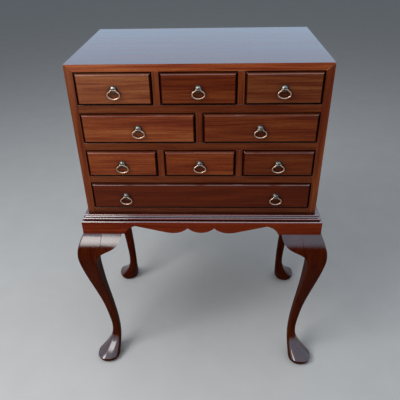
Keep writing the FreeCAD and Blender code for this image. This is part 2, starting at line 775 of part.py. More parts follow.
def leg_radii(height, half):
    """Corner radii of the leg's section: crisp at the knee, soft at the ankle, round at the foot."""
    knee = size.knee_height.value
    ankle = size.ankle_height.value
    rim = size.rim_height.value
    top = [size.arris_radius.value, size.inner_arris_radius.value, size.inner_arris_radius.value]
    low = size.ankle_arris_radius.value
    if height >= knee:
        return top
    if height >= ankle:
        share = ease((knee - height) / (knee - ankle))
        return [radius + (low - radius) * share for radius in top]
    share = (ankle - height) / (ankle - rim)
    return [low + (half * rounding - low) * share for rounding in RIM_ROUNDING]


# Shares of the way down each stretch of the leg at which a section is drawn
HEAD_SHARES = [0.0, 0.3, 0.65]
SHIN_SHARES = [0.0, 0.09, 0.2, 0.34, 0.5, 0.66, 0.84]
FOOT_SHARES = [0.0, 0.3, 0.55, 0.75, 0.9, 1.0]
SOLE_SHARES = [0.3, 0.65, 1.0]


def leg_stations():
    stretches = [(size.leg_height, size.knee_height, HEAD_SHARES),
                 (size.knee_height, size.ankle_height, SHIN_SHARES),
                 (size.ankle_height, size.rim_height, FOOT_SHARES)]
    return [spread(high, low, share) for high, low, shares in stretches for share in shares]


def loft(body, name, sections):
    feature = body.newObject("PartDesign::AdditiveLoft", name)
    feature.Profile = sections[0]
    feature.Sections = sections[1:]
    return feature


def leg(side, name):
    """A cabriole leg with its pad foot and the post that rises behind the aprons.

    The body's own origin is at the stand's corner, on the floor, and the leg's
    outer corner points to -X -Y there.
    """
    body = doc.addObject("PartDesign::Body", name)
    sections = []
    for number, height in enumerate(leg_stations(), start=1):
        outer = outer_line(height.value)
        inner = inner_line(height.value)
        radii = leg_radii(height.value, (outer - inner) / 2)
        sections.append(leg_section(body, f"{name}_section_{number}", height, outer, inner, radii))
    loft(body, f"{name}_curve", sections)
    sole_sections = [sections[-1]]
    for number, share in enumerate(SOLE_SHARES, start=1):
        height = spread(size.rim_height, Size(0), share)
        tuck = 1 - math.sqrt(1 - share ** 2)
        radius = size.foot_radius.value + (size.sole_radius - size.foot_radius).value * tuck
        inset = size.foot_inset.value
        corners = [radius * rounding for rounding in SOLE_ROUNDING]
        sole_sections.append(leg_section(body, f"{name}_sole_{number}", height, radius - inset,
                                         -radius - inset, corners))
    loft(body, f"{name}_sole", sole_sections)
    post = body_sketch(body, "XY_Plane", f"{name}_post_outline", size.leg_height)
    post_span = (size.apron_thick, size.leg_width)
    draw(post, rectangle(post_span, post_span))
    pad(body, post, f"{name}_post", size.apron_height)
    # The corner at the left end of the side, turned with it
    turn = Rotation(Vector(0, 0, 1), side.turn)
    corner = turn.multVec(Vector(-side.half.value, -side.reach.value, 0))
    body.Placement = Placement(corner, turn)
    reach_x = stand_half_width if corner.x > 0 else -stand_half_width
    reach_y = stand_half_depth if corner.y > 0 else -stand_half_depth
    bind(body, "Placement.Base.x", reach_x)
    bind(body, "Placement.Base.y", reach_y)
    return body


def free_sketch(name, turn):
    sketch = doc.addObject("Sketcher::SketchObject", name)
    sketch.Placement = Placement(Vector(), turn)
    return sketch


# Shares of the bracket's height at which it meets the knee's curve
BRACKET_SHARES = [0.0, 0.2, 0.4, 0.6, 0.8, 1.0]
# Its lower edge from the tip: shares of its width and of its height
BRACKET_CURVE = [(0.07, 0.22), (0.26, 0.46), (0.51, 0.61), (0.81, 0.76)]


def flipped(corner, hand):
    """A corner on the right (hand 1) or its mirror image on the left (hand -1)."""
    spot = (corner[0] * hand, corner[1])
    return spot + tuple([(x * hand, z) for x, z in bend] for bend in corner[2:])


def knee_bracket(side, hand):
    """A shaped bracket under an apron, its face flush with the knee beside it."""
    word = "right" if hand > 0 else "left"
    name = f"bracket_{side.name}_{word}"
    top = size.leg_height
    low = top - size.bracket_drop
    heights = [spread(top, low, share) for share in BRACKET_SHARES]
    # The band between the knee's face and the bracket's back, seen from the side
    face = [(-(side.reach.value + outer_line(height.value)), height.value) for height in heights]
    rear = [(y + size.bracket_thick.value, z) for y, z in face]
    band = free_sketch(f"{name}_band", Rotation(Vector(1, 1, 1), 120))
    draw(band, [face[0], face[-1] + (face[1:-1],), rear[-1], rear[0] + (rear[-2:0:-1],)])
    band_solid = doc.addObject("Part::Extrusion", f"{name}_band_solid")
    band_solid.Base = band
    band_solid.DirMode = "Custom"
    band_solid.Dir = Vector(1, 0, 0)
    band_solid.Solid = True
    bind(band_solid, "LengthFwd", side.half * 2)
    bind(band_solid, "Placement.Base.x", -side.half)
    # The outline seen from outside: up the leg, out to the tip and back along the curve
    leg_edge = [(side.half.value + inner_line(height.value) - size.glue_line.value, height.value)
                for height in heights]
    tip = side.half.value - size.bracket_reach.value
    curve = [(tip + (leg_edge[-1][0] - tip) * along, top.value - size.bracket_drop.value * down)
             for along, down in BRACKET_CURVE]
    corners = [leg_edge[-1] + (curve,), leg_edge[0] + (leg_edge[-2:0:-1],), (tip, top.value)]
    outline = free_sketch(f"{name}_outline", Rotation(Vector(1, 0, 0), 90))
    draw(outline, [flipped(corner, hand) for corner in corners])
    outline_solid = doc.addObject("Part::Extrusion", f"{name}_outline_solid")
    outline_solid.Base = outline
    outline_solid.DirMode = "Custom"
    outline_solid.Dir = Vector(0, -1, 0)
    outline_solid.Solid = True
    bind(outline_solid, "LengthFwd", side.reach + size.knee_reach * 2)
    bracket = doc.addObject("Part::Common", name)
    bracket.Base = band_solid
    bracket.Tool = outline_solid
    bracket.Placement = turned(side)
    return bracket


def corner_block(side):
    """A triangular block behind a leg's post, glued to two aprons."""
    name = f"corner_block_{side.name}"
    body = doc.addObject("PartDesign::Body", name)
    x = side.half - size.apron_thick
    y = side.reach - size.apron_thick
    post = size.leg_width - size.apron_thick
    far = size.corner_block_size
    sketch = body_sketch(body, "XY_Plane", f"{name}_outline", apron_top - size.corner_block_height)
    draw(sketch, [(-(x - post), -y), (-(x - post - far), -y), (-x, -(y - post - far)), (-x, -(y - post)),
                  (-(x - post), -(y - post))])
    pad(body, sketch, f"{name}_solid", size.corner_block_height)
    body.Placement = turned(side)
    return body


# The whole part: every node in the order in which it goes together

nodes = []
nodes += [carcase_top(), carcase_side("carcase_side_left", -1), carcase_side("carcase_side_right", 1)]
nodes += [carcase_bottom(), carcase_back()]
nodes += [rail(0, "rail_upper"), rail(1, "rail_middle"), rail(2, "rail_lower")]
nodes += [runners(), dividers(), stops()]

for drawer in drawer_list():
    nodes += [drawer_front(drawer), drawer_box(drawer)]
    fixed = []
    words = [drawer.name] if len(drawer.pulls) == 1 else [f"{drawer.name}_left", f"{drawer.name}_right"]
    for word, x in zip(words, drawer.pulls):
        fixed.append(pull_fixed(word, x, pull_height(drawer)))
        nodes.append(bail(word, x, pull_height(drawer)))
    nodes.append(group(f"pull_{drawer.name}", fixed))

nodes += [apron(side) for side in SIDES]
nodes.append(group("stand_moulding", [moulding(side) for side in SIDES]))
leg_names = ["leg_front_left", "leg_front_right", "leg_back_right", "leg_back_left"]
nodes += [leg(side, name) for side, name in zip(SIDES, leg_names)]
nodes.append(group("knee_brackets", [knee_bracket(side, hand) for side in SIDES for hand in (-1, 1)]))
nodes.append(group("corner_blocks", [corner_block(side) for side in SIDES]))

doc.recompute()

for thing in doc.Objects:
    if "Invalid" in thing.State or "Error" in thing.State:
        raise RuntimeError(f"{thing.Label} did not build: {thing.State}")
for node in nodes:
    if node.Shape.isNull() or not node.Shape.isValid():
        raise RuntimeError(f"{node.Label} has no valid shape")

os.makedirs("parts", exist_ok=True)
for node in nodes:
    node.Shape.exportStep(os.path.join("parts", f"{node.Label}.step"))
print(f"{len(nodes)} nodes")
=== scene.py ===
# %% [markdown]
# # A silver chest on a stand
#
# This lesson dresses a low chest of nine small drawers, made to hold table silver, that
# stands on a moulded frame with four cabriole legs. The measured model of the chest is
# loaded first and stays where it is. Some of its parts only need a finish. Others are
# built again here in finer detail, exactly where the measured ones stand.
#
# A mesh can come from a file, from sculpting or from simple shapes that are worked on step
# by step. The last way is used for every new piece, because joinery and turned brass are
# made of flat boards and round sections, and each step has its match in the workshop.

# %% Load the measured chest
import json
import math

import bmesh
import bpy
from mathutils import Matrix, Vector

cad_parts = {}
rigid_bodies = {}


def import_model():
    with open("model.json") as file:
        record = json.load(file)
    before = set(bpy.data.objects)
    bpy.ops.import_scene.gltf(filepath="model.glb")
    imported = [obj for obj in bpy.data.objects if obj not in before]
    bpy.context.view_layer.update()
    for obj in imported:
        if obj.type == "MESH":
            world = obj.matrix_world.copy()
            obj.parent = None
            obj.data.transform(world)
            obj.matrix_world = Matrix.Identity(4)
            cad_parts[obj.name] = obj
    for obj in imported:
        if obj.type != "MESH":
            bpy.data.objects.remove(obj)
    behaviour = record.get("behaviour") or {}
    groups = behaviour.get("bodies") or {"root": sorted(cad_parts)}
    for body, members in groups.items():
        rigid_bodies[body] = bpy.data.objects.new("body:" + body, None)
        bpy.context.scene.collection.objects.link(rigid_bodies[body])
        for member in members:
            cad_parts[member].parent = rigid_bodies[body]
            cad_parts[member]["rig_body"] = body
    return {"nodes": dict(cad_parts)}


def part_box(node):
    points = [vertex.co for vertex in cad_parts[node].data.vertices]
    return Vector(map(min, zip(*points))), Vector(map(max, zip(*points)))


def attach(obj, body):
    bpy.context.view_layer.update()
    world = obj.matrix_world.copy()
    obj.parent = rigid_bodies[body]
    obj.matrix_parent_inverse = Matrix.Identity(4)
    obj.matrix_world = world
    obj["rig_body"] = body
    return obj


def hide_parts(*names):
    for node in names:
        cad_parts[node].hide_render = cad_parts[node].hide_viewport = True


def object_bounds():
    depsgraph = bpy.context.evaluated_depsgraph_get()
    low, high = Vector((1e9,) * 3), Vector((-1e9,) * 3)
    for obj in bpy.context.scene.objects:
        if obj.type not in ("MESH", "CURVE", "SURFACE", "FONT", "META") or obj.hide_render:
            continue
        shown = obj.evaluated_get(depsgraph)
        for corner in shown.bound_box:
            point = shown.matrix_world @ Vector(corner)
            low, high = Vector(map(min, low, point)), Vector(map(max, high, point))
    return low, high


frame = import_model()
cad_low, cad_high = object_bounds()
bpy.ops.object.select_all(action="DESELECT")
size = cad_high - cad_low
print(f"overall {size.x:.3f} x {size.y:.3f} x {size.z:.3f} m")

# %% [markdown]
# ## Camera
#
# The picture was taken standing up, a little to the right of the middle and a metre in
# front of the chest, looking down at it by about 32 degrees. A camera can be aimed with a
# constraint or by typing angles. Here its three directions are worked out from yaw, pitch
# and roll and written into its matrix, which leaves no doubt about the order of the turns.

# %% Camera at the photographer's place
MM = 0.001
PICTURE_SIDE = 400
FOCAL_LENGTH_PIXELS = 447.1
EYE = Vector((38.1, -1095.2, 1139.0)) * MM
YAW, PITCH, ROLL = -0.043, 0.5605, -0.0204

forward = Vector((math.sin(YAW) * math.cos(PITCH), math.cos(YAW) * math.cos(PITCH), -math.sin(PITCH)))
level = Vector((math.cos(YAW), -math.sin(YAW), 0))
upright = level.cross(forward)
rightward = math.cos(ROLL) * level + math.sin(ROLL) * upright
upward = math.cos(ROLL) * upright - math.sin(ROLL) * level

bpy.ops.object.camera_add()
camera = bpy.context.object
camera.name = "camera"
camera.matrix_world = Matrix.Translation(EYE) @ Matrix((rightward, upward, -forward)).transposed().to_4x4()
camera.data.sensor_width = 36
camera.data.lens = FOCAL_LENGTH_PIXELS * camera.data.sensor_width / PICTURE_SIDE
bpy.context.scene.camera = camera
bpy.context.scene.view_settings.view_transform = "Standard"
print(f"camera {EYE.z:.2f} m high with a {camera.data.lens:.1f} mm lens")

# %% [markdown]
# ## Material helpers
#
# A finish is a small network of nodes. Each node can be added and wired in four or five
# lines, but two helpers make that one line each, so that the recipe of a finish can be read
# like a list. A value that is another node's socket is wired, anything else is typed in.

# %% Helpers that add shader nodes
def new_finish(name, **settings):
    """A material and its shader, with the given constants on the shader's own sockets."""
    material = bpy.data.materials.new(name)
    material.use_nodes = True
    shader = material.node_tree.nodes["Principled BSDF"]
    for socket, value in settings.items():
        shader.inputs[socket.replace("_", " ")].default_value = value
    return material, material.node_tree, shader


def add_node(tree, kind, inputs=None, **settings):
    """A node with its settings; its inputs are given by name or number."""
    node = tree.nodes.new(kind)
    for name, value in settings.items():
        setattr(node, name, value)
    for name, value in (inputs or {}).items():
        if isinstance(value, bpy.types.NodeSocket):
            tree.links.new(value, node.inputs[name])
        else:
            node.inputs[name].default_value = value
    return node


def mix_colours(tree, factor, first, second):
    """Factor, first colour and second colour may each be a socket or a constant."""
    node = add_node(tree, "ShaderNodeMix", {0: factor, 6: first, 7: second}, data_type="RGBA")
    return node.outputs[2]


def ramp(tree, factor, stops):
    """A colour ramp; each stop is a position and a grey value or an RGB colour."""
    node = add_node(tree, "ShaderNodeValToRGB", {"Fac": factor})
    points = node.color_ramp.elements
    while len(points) < len(stops):
        points.new(0.5)
    for point, (position, colour) in zip(points, stops):
        point.position = position
        point.color = (*([colour] * 3 if isinstance(colour, float) else colour), 1)
    return node.outputs["Color"]


def streaks(tree, offset, scale, detail=5.0, distortion=0.0):
    """Noise on object coordinates, stretched by a different scale along each axis."""
    place = add_node(tree, "ShaderNodeTexCoord").outputs["Object"]
    mapping = add_node(tree, "ShaderNodeMapping", {"Vector": place, "Location": offset, "Scale": scale})
    noise = add_node(tree, "ShaderNodeTexNoise", {
        "Vector": mapping.outputs["Vector"], "Scale": 1.0, "Detail": detail,
        "Roughness": 0.55, "Distortion": distortion})
    return noise.outputs["Fac"]


print("node helpers ready")

# %% [markdown]
# ## Mahogany
#
# The chest is polished mahogany: red-brown wood with long soft streaks, short dark pores
# and a clear varnish that shows the sky on its top. A photograph of veneer would fix the
# streaks at one size and direction. Noise that is stretched along the grain gives the same
# look at any size, and each board gets its grain along its own length: along X for the
# drawer fronts and rails, along Y for the stand's sides and upwards for sides and legs.
# End grain drinks more stain, so the faces that look along the grain are darker. Painted shade darkens the
# corners, which the ambient occlusion node finds. The polishing cloth reaches the faces that look up best,
# so they carry a thick clear coat, found by how far their normal rises, while upright faces keep the softer
# sheen of thin varnish.

# %% Colours of the wood and how they vary
GRAIN_AXES = {"x": 0, "y": 1, "z": 2}
DARK_STREAK = (0.095, 0.0080, 0.0020)
MAIN_WOOD = (0.165, 0.0190, 0.0030)
LIGHT_STREAK = (0.235, 0.0400, 0.0070)
PORE_COLOUR = (0.040, 0.0040, 0.0015, 1)
# Near-black colour of the painted shade in the corners.
CORNER_SHADE_COLOUR = (0.010, 0.0020, 0.0010, 1)
END_GRAIN = (0.020, 0.0030, 0.0014, 1)
VARNISH_TINT = (1.0, 0.60, 0.38, 1)


def stretched(grain, along, across):
    """Scales that make streaks along one axis."""
    scale = [across] * 3
    scale[GRAIN_AXES[grain]] = along
    return scale


def toned(colour, tone, browner=1.0):
    """Lighter or darker by the tone, and away from red by raising green and blue."""
    red, green, blue = colour
    return red * tone, green * tone * browner, blue * tone * browner ** 2


print("grain along", ", ".join(GRAIN_AXES))

# %% The recipe of a polished board
CORNER_REACH = 0.014
BUMP_HEIGHT = 0.0004
SHINE_SPAN = 0.16


def mahogany(name, grain, tone=1.0, browner=1.0, offset=0.0, dullness=0.30, sheen=0.24, polish=0.6,
             coat_ior=1.9, coat_haze=0.10, shines_from=0.14, shade_share=0.95):
    """Polished mahogany; the tone darkens or lightens it, the offset picks another board.

    Dullness is the roughness of the varnish and sheen its strength; polish, coat_ior and coat_haze belong to
    the clear coat on faces whose normal rises past shines_from; the last argument sets how much of the wood
    painted shade hides in the deepest corners.
    """
    material, tree, shader = new_finish(name, Specular_IOR_Level=sheen, Specular_Tint=VARNISH_TINT,
                                        Coat_Roughness=coat_haze, Coat_IOR=coat_ior)
    offset = (offset, offset * 1.7, offset * 2.3)
    broad = streaks(tree, offset, stretched(grain, 3.5, 60.0), detail=4.0, distortion=0.6)
    fine = streaks(tree, offset, stretched(grain, 9.0, 330.0), detail=6.0)
    pores = streaks(tree, offset, stretched(grain, 130.0, 2400.0), detail=2.0)
    figure = mix_colours(tree, 0.55, broad, fine)
    wood = ramp(tree, figure, [(place, toned(colour, tone, browner)) for place, colour in (
        (0.38, DARK_STREAK), (0.50, MAIN_WOOD), (0.64, LIGHT_STREAK))])
    pore_mask = ramp(tree, pores, [(0.36, 0.55), (0.44, 0.0)])
    porous = mix_colours(tree, pore_mask, wood, PORE_COLOUR)
    normal = add_node(tree, "ShaderNodeNewGeometry").outputs["Normal"]
    facing = add_node(tree, "ShaderNodeSeparateXYZ", {0: normal}).outputs
    if grain != "z":
        along = add_node(tree, "ShaderNodeMath", {0: facing[grain.upper()]}, operation="ABSOLUTE")
        end_mask = ramp(tree, along.outputs[0], [(0.5, 0.0), (0.8, 0.75)])
        porous = mix_colours(tree, end_mask, porous, END_GRAIN)
    # Painted shade: where the ambient occlusion node finds a corner, the wood is darkened towards a
    # near-black colour.
    corners = add_node(tree, "ShaderNodeAmbientOcclusion", {"Distance": CORNER_REACH}, samples=6)
    painted_shade_mask = ramp(tree, corners.outputs["AO"], [(0.55, shade_share), (0.97, 0.0)])
    shaded_wood = mix_colours(tree, painted_shade_mask, porous, CORNER_SHADE_COLOUR)
    tree.links.new(shaded_wood, shader.inputs["Base Color"])
    roughness = ramp(tree, broad, [(0.3, dullness - 0.06), (0.7, dullness + 0.08)])
    tree.links.new(roughness, shader.inputs["Roughness"])
    relief = mix_colours(tree, 0.7, fine, pores)
    bump = add_node(tree, "ShaderNodeBump", {"Height": relief, "Strength": 0.10, "Distance": BUMP_HEIGHT})
    tree.links.new(bump.outputs["Normal"], shader.inputs["Normal"])
    coat = add_node(tree, "ShaderNodeMapRange", {
        "Value": facing["Z"], "From Min": shines_from, "From Max": shines_from + SHINE_SPAN,
        "To Max": polish}, interpolation_type="SMOOTHSTEP")
    tree.links.new(coat.outputs["Result"], shader.inputs["Coat Weight"])
    return material


print("mahogany recipe ready")

# %% Mahogany for the chest, the stand, the legs and the top
mahogany_by_grain = {grain: mahogany(f"mahogany along {grain}", grain, tone=tone, browner=1.6)
                     for grain, tone in (("x", 0.68), ("y", 0.68), ("z", 0.86))}
stand_by_grain = {grain: mahogany(f"stand mahogany along {grain}", grain, tone=0.80, browner=0.85,
                                  offset=3.1, polish=1.0, coat_ior=2.3, sheen=0.12)
                  for grain in ("x", "y")}
leg_mahogany = mahogany("leg mahogany", "z", tone=0.28, offset=5.3, dullness=0.46, polish=0.9, sheen=0.03,
                        coat_ior=1.95, coat_haze=0.16, shines_from=0.26, shade_share=0.25)
top_mahogany = mahogany("top mahogany", "x", tone=0.50, offset=1.3, dullness=0.22, polish=0.84, coat_ior=1.5)
# The top board's front edge takes a copy of its mahogany painted lighter and browner: painted light on the
# face that looks forward.
painted_light_edge_mahogany = mahogany("top edge mahogany painted lighter", "x", tone=1.6, browner=1.75, offset=2.1)
print(len(bpy.data.materials), "materials so far")

# %% [markdown]
# ## Figured fronts
#
# The nine drawer fronts are cut from different boards, so no two look alike. Their tones also carry painted
# light from the left: the left ones are painted browner and lighter and the right ones darker, and the wide
# bottom one is the darkest. One material for all would show one pattern running through the whole chest. A
# material for each front, with its own tone and its own stretch of noise, costs little and looks right.

# %% A board for each drawer front
# Tone and brownness of each front: partly its own board, partly painted light, lighter on the left and
# darker on the right.
FRONT_TONES_AND_PAINTED_LIGHT = {
    "one_left": (1.12, 2.2), "one_middle": (0.68, 1.35), "one_right": (0.76, 1.95),
    "two_left": (1.16, 1.8), "two_right": (0.80, 1.6), "three_left": (1.12, 1.65),
    "three_middle": (0.92, 1.45), "three_right": (0.60, 1.35), "four": (0.44, 0.85),
}
front_mahogany = {
    drawer: mahogany(f"mahogany front {number}", "x", tone=tone, browner=browner, offset=7.7 * number)
    for number, (drawer, (tone, browner)) in enumerate(FRONT_TONES_AND_PAINTED_LIGHT.items(), start=1)
}
print(len(front_mahogany), "fronts, each from its own board")

# %% [markdown]
# ## Plain inside wood
#
# Drawer boxes, runners, bottom and back are of a cheap pale wood, such as poplar, which is
# left unpolished. It has a dull surface, faint grey-green streaks and no varnish, so it
# uses the same stretched noise with other colours and a high roughness.

# %% Plain wood for drawer boxes and runners
PALE_DARK = (0.300, 0.1850, 0.0950)
PALE_MAIN = (0.430, 0.2900, 0.1600)
PALE_LIGHT = (0.520, 0.3750, 0.2250)
# Near-black colour of the painted shade in the pale wood's corners.
PALE_SHADE_COLOUR = (0.020, 0.0120, 0.0070, 1)


def plain_wood(name, grain):
    """Unpolished pale wood with painted shade in its corners."""
    material, tree, shader = new_finish(name, Specular_IOR_Level=0.25)
    offset = (0.4, 0.9, 1.6)
    broad = streaks(tree, offset, stretched(grain, 3.0, 60.0), detail=4.0, distortion=0.5)
    fine = streaks(tree, offset, stretched(grain, 22.0, 700.0), detail=4.0)
    figure = mix_colours(tree, 0.5, broad, fine)
    wood = ramp(tree, figure, [(0.32, PALE_DARK), (0.5, PALE_MAIN), (0.68, PALE_LIGHT)])
    # Painted shade: where the ambient occlusion node finds a corner, the pale wood is darkened almost to
    # black.
    corners = add_node(tree, "ShaderNodeAmbientOcclusion", {"Distance": 0.012}, samples=6)
    pale_shade_mask = ramp(tree, corners.outputs["AO"], [(0.30, 0.95), (0.60, 0.0)])
    tree.links.new(mix_colours(tree, pale_shade_mask, wood, PALE_SHADE_COLOUR), shader.inputs["Base Color"])
    roughness = ramp(tree, fine, [(0.3, 0.55), (0.7, 0.75)])
    tree.links.new(roughness, shader.inputs["Roughness"])
    bump = add_node(tree, "ShaderNodeBump", {"Height": fine, "Strength": 0.2, "Distance": 0.0003})
    tree.links.new(bump.outputs["Normal"], shader.inputs["Normal"])
    return material


plain_by_grain = {grain: plain_wood(f"plain wood along {grain}", grain) for grain in ("x", "y")}
print("plain wood in", len(plain_by_grain), "directions")

# %% [markdown]
# ## Brass
#
# The pulls are old brass. Hands keep the bails bright and the posts a dull grey, while the rosettes have
# gone dark brown, most of all in their grooves. The posts' front ends are painted dark as well, a painted
# reflection of the dark surroundings before them. Metal shows its surroundings, so its look is mostly
# roughness: two noises break it up, and ambient occlusion puts the tarnish into the corners.

# %% Brass with tarnish
def brass(name, bright, tarnished, tarnish, roughness):
    """Worn brass; tarnish raises the share of the surface that has gone dark."""
    material, tree, shader = new_finish(name, Metallic=1.0)
    blotches = streaks(tree, (0.0, 0.0, 0.0), (240.0, 240.0, 240.0), detail=5.0)
    scratches = streaks(tree, (0.0, 0.0, 0.0), (900.0, 2600.0, 900.0), detail=3.0)
    mask = ramp(tree, blotches, [(0.42 - tarnish * 0.3, 1.0), (0.78 - tarnish * 0.3, 0.0)])
    corners = add_node(tree, "ShaderNodeAmbientOcclusion", {"Distance": 0.003}, samples=6)
    corner_mask = ramp(tree, corners.outputs["AO"], [(0.35, 0.9), (0.9, 0.0)])
    blotched = mix_colours(tree, mask, (*tarnished, 1), (*bright, 1))
    colour = mix_colours(tree, corner_mask, blotched, (*toned(tarnished, 0.4), 1))
    tree.links.new(colour, shader.inputs["Base Color"])
    dullness = ramp(tree, blotches, [(0.3, roughness), (0.7, roughness + 0.16)])
    tree.links.new(dullness, shader.inputs["Roughness"])
    bump = add_node(tree, "ShaderNodeBump", {"Height": scratches, "Strength": 0.08, "Distance": 0.0001})
    tree.links.new(bump.outputs["Normal"], shader.inputs["Normal"])
    return material


head_brass = brass("worn head brass", (0.42, 0.37, 0.33), (0.12, 0.09, 0.07), 0.4, 0.24)
# Dark brass for the tarnished rosettes and nuts, and for the painted dark reflection on the posts' front
# ends.
tarnish_and_shade_brass = brass("tarnished brass and painted shade", (0.075, 0.052, 0.038), (0.028, 0.018, 0.013), 0.2, 0.30)
bail_brass = brass("bail brass", (0.88, 0.60, 0.44), (0.24, 0.13, 0.08), 0.30, 0.24)
screw_steel = brass("screw steel", (0.42, 0.41, 0.40), (0.12, 0.09, 0.07), 0.3, 0.35)
print(len(bpy.data.materials), "materials in all")

# %% [markdown]
# ## Modelling helpers
#
# Every new piece goes through the same stations: an operator adds a simple shape at its
# real size and place, edit mode changes it, and at the end it is softened, smoothed and
# tied to the body that it moves with. These helpers hold those stations, so that the cells
# below show only what is special about a piece.

# %% Helpers that shape a piece
ROUND_FROM = math.radians(35)


def make_active(piece):
    """Selects this piece alone."""
    bpy.ops.object.select_all(action="DESELECT")
    piece.select_set(True)
    bpy.context.view_layer.objects.active = piece


def block(low, high):
    """A new block between two corners, active and in object mode."""
    bpy.ops.object.select_all(action="DESELECT")
    bpy.ops.mesh.primitive_cube_add(size=1, location=(low + high) / 2, scale=high - low)
    bpy.ops.object.transform_apply(location=True, rotation=True, scale=True)
    return bpy.context.object


def select_where(piece, kind, test):
    """In edit mode, selects just those faces, edges or vertices that pass the test."""
    bpy.ops.mesh.select_mode(type=kind)
    bpy.ops.mesh.select_all(action="DESELECT")
    mesh = bmesh.from_edit_mesh(piece.data)
    for item in {"FACE": mesh.faces, "EDGE": mesh.edges, "VERT": mesh.verts}[kind]:
        if test(item):
            item.select_set(True)
    mesh.select_flush_mode()
    bmesh.update_edit_mesh(piece.data)


def apply_modifier(piece, name, kind, **settings):
    """Adds a modifier to a piece and makes its result the piece's own mesh."""
    make_active(piece)
    modifier = piece.modifiers.new(name, kind)
    for setting, value in settings.items():
        setattr(modifier, setting, value)
    bpy.ops.object.modifier_apply(modifier=modifier.name)


def soften(piece, width, segments=2):
    """Rounds the sharp edges of a piece a little."""
    apply_modifier(piece, "softened edges", "BEVEL", width=width, segments=segments,
                   limit_method="ANGLE", angle_limit=math.radians(40))


def cut_away(piece, cutter):
    """Cuts the cutter's shape out of a piece and removes the cutter."""
    apply_modifier(piece, "cut", "BOOLEAN", object=cutter, solver="EXACT")
    bpy.data.objects.remove(cutter)


def turn_normals_out(piece):
    """Makes all faces of a piece look outwards."""
    make_active(piece)
    bpy.ops.object.mode_set(mode="EDIT")
    bpy.ops.mesh.select_all(action="SELECT")
    bpy.ops.mesh.normals_make_consistent(inside=False)
    bpy.ops.object.mode_set(mode="OBJECT")


print("shaping helpers ready")

# %% Helpers that finish and copy a piece
def finish_piece(piece, name, body, slot, *materials):
    """Names, smooths and paints a piece and ties it to its body."""
    make_active(piece)
    bpy.ops.object.transform_apply(location=True, rotation=True, scale=True)
    piece.name = piece.data.name = name
    if materials:
        piece.data.materials.clear()
        for material in materials:
            piece.data.materials.append(material)
    bpy.ops.object.shade_smooth_by_angle(angle=ROUND_FROM)
    apply_modifier(piece, "flat faces", "WEIGHTED_NORMAL", keep_sharp=True)
    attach(piece, body)
    return piece


def copy_to(piece, shift):
    """A copy with its own mesh, moved by a distance."""
    twin = piece.copy()
    twin.data = piece.data.copy()
    twin.data.transform(Matrix.Translation(shift))
    bpy.context.scene.collection.objects.link(twin)
    return twin


def joined(pieces):
    """Several pieces made one object."""
    make_active(pieces[0])
    for piece in pieces:
        piece.select_set(True)
    if len(pieces) > 1:
        bpy.ops.object.join()
    return bpy.context.object


def face_count(piece):
    return len(piece.data.polygons)


print("finishing helpers ready")

# %% [markdown]
# ## Softened boards
#
# A joiner takes the sharpness off every edge with sandpaper, and these narrow rounds are
# what makes a board's outline catch the light. The measured boards have knife edges. Each
# could be built again from a block, but their mitres, rebates and curves are right
# already, so a copy of the board is used: its loose triangles are merged into whole faces,
# and a bevel of half a millimetre runs round them.

# %% Boards of the chest and stand with softened edges
EASED_EDGE = 0.5 * MM
WELD_DISTANCE = 0.01 * MM
FLAT_WITHIN = math.radians(0.3)
BOARDS = {
    "carcase_top": ("top_board", top_mahogany),
    "carcase_side_left": ("side_board_left", mahogany_by_grain["z"]),
    "carcase_side_right": ("side_board_right", mahogany_by_grain["z"]),
    "rail_upper": ("rail_board_upper", mahogany_by_grain["x"]),
    "rail_middle": ("rail_board_middle", mahogany_by_grain["x"]),
    "rail_lower": ("rail_board_lower", mahogany_by_grain["x"]),
    "drawer_dividers": ("divider_boards", mahogany_by_grain["z"]),
    "carcase_bottom": ("bottom_board", mahogany_by_grain["x"]),
    "apron_front": ("apron_board_front", stand_by_grain["x"]),
    "apron_left": ("apron_board_left", stand_by_grain["y"]),
    "apron_right": ("apron_board_right", stand_by_grain["y"]),
    "apron_back": ("apron_board_back", stand_by_grain["x"]),
}


def softened_board(node, name, material):
    """Builds a measured board again with eased edges, in its place."""
    source = frame["nodes"][node]
    board = bpy.data.objects.new(name, source.data.copy())
    bpy.context.scene.collection.objects.link(board)
    make_active(board)
    bpy.ops.object.mode_set(mode="EDIT")
    bpy.ops.mesh.select_all(action="SELECT")
    bpy.ops.mesh.remove_doubles(threshold=WELD_DISTANCE)
    bpy.ops.mesh.dissolve_limited(angle_limit=FLAT_WITHIN)
    bpy.ops.object.mode_set(mode="OBJECT")
    soften(board, EASED_EDGE)
    finish_piece(board, name, source["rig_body"], "mahogany", material)
    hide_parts(node)
    return board


boards = [softened_board(node, *looks) for node, looks in BOARDS.items()]
top_board = boards[0]
# Painted light: the faces of the top board that look forward take the lighter copy of the mahogany.
top_board.data.materials.append(painted_light_edge_mahogany)
for face in top_board.data.polygons:
    face.material_index = int(face.normal.y < -0.9)
print(len(boards), "boards,", sum(map(face_count, boards)), "faces")

# %% [markdown]
# ## Drawer fronts
#
# Each front is a solid board whose face stands proud of the chest, with a flat bevel on
# all four edges that is deeper than it is wide; the upper bevels catch the sky as thin
# pale lines. The bevel operator cuts equally deep both ways, so the block here ends where
# the bevels begin: its front face is extruded forward by their depth and then scaled
# down by their width, and every edge is eased.

# %% Bevelled drawer fronts
FRONT_BEVEL = 4.2 * MM
BEVEL_DEPTH = 6.4 * MM


